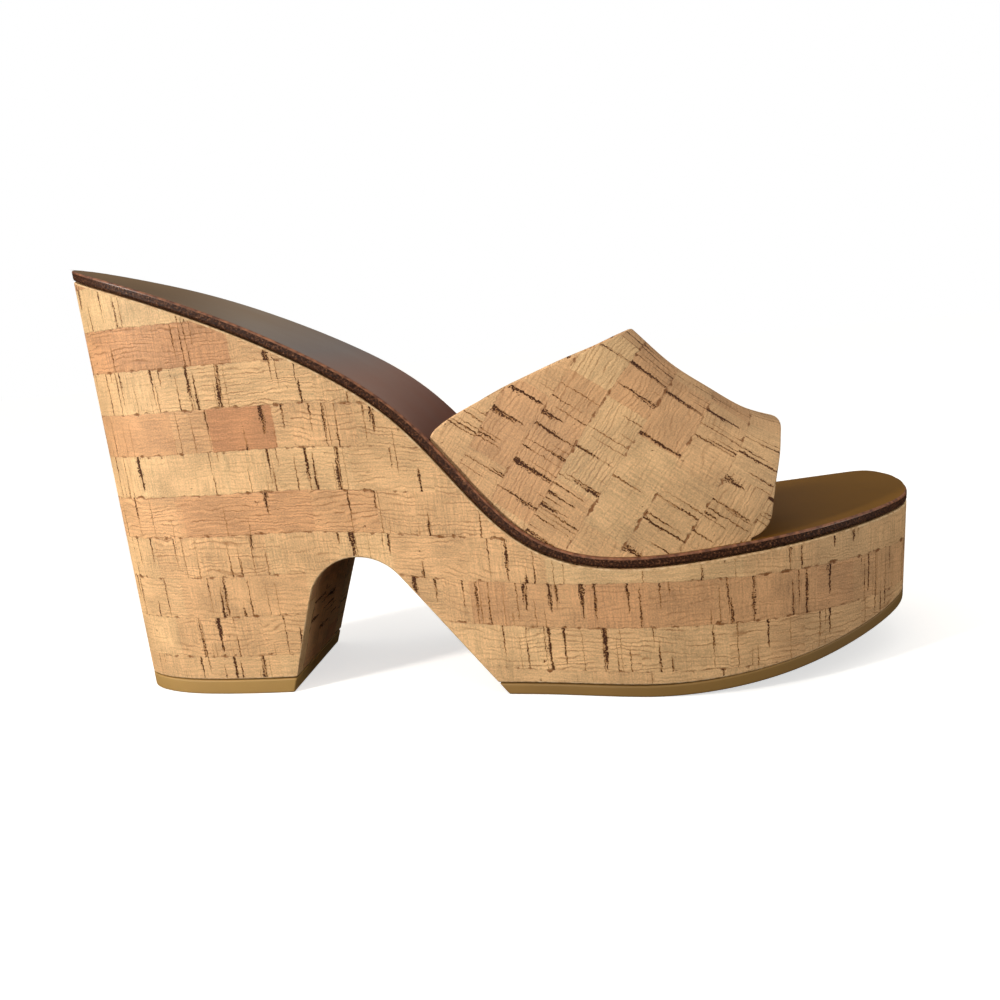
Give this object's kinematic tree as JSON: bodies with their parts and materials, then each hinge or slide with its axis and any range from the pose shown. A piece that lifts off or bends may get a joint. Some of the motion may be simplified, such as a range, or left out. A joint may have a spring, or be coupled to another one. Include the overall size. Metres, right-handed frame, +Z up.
{
  "type": "platform sandal",
  "caption": "Right-foot platform mule sandal: cork-wrapped wedge with an arch cut-out, dark-edged leather footbed and one wide cork-covered band, open at toe and heel.",
  "frame": {"origin": "on the ground, under the middle of the whole sandal's box", "axes": "+X from heel to toe, +Y towards the inner side of the right foot, +Z up"},
  "size_m": [0.2324, 0.0852, 0.124],
  "materials": {
    "cork_wrap": "natural cork sheet in strips and blocks, matt with a faint varnish",
    "sole_rubber": "smooth tan rubber",
    "footbed_leather": "polished brown leather with a dark raw edge",
    "band_cork": "natural cork fabric over a backing, matt"
  },
  "bodies": {
    "root": {"wedge": "cork_wrap", "heel_lift": "sole_rubber", "outsole": "sole_rubber", "insole": "footbed_leather", "upper": "band_cork"}
  },
  "joints": []
}
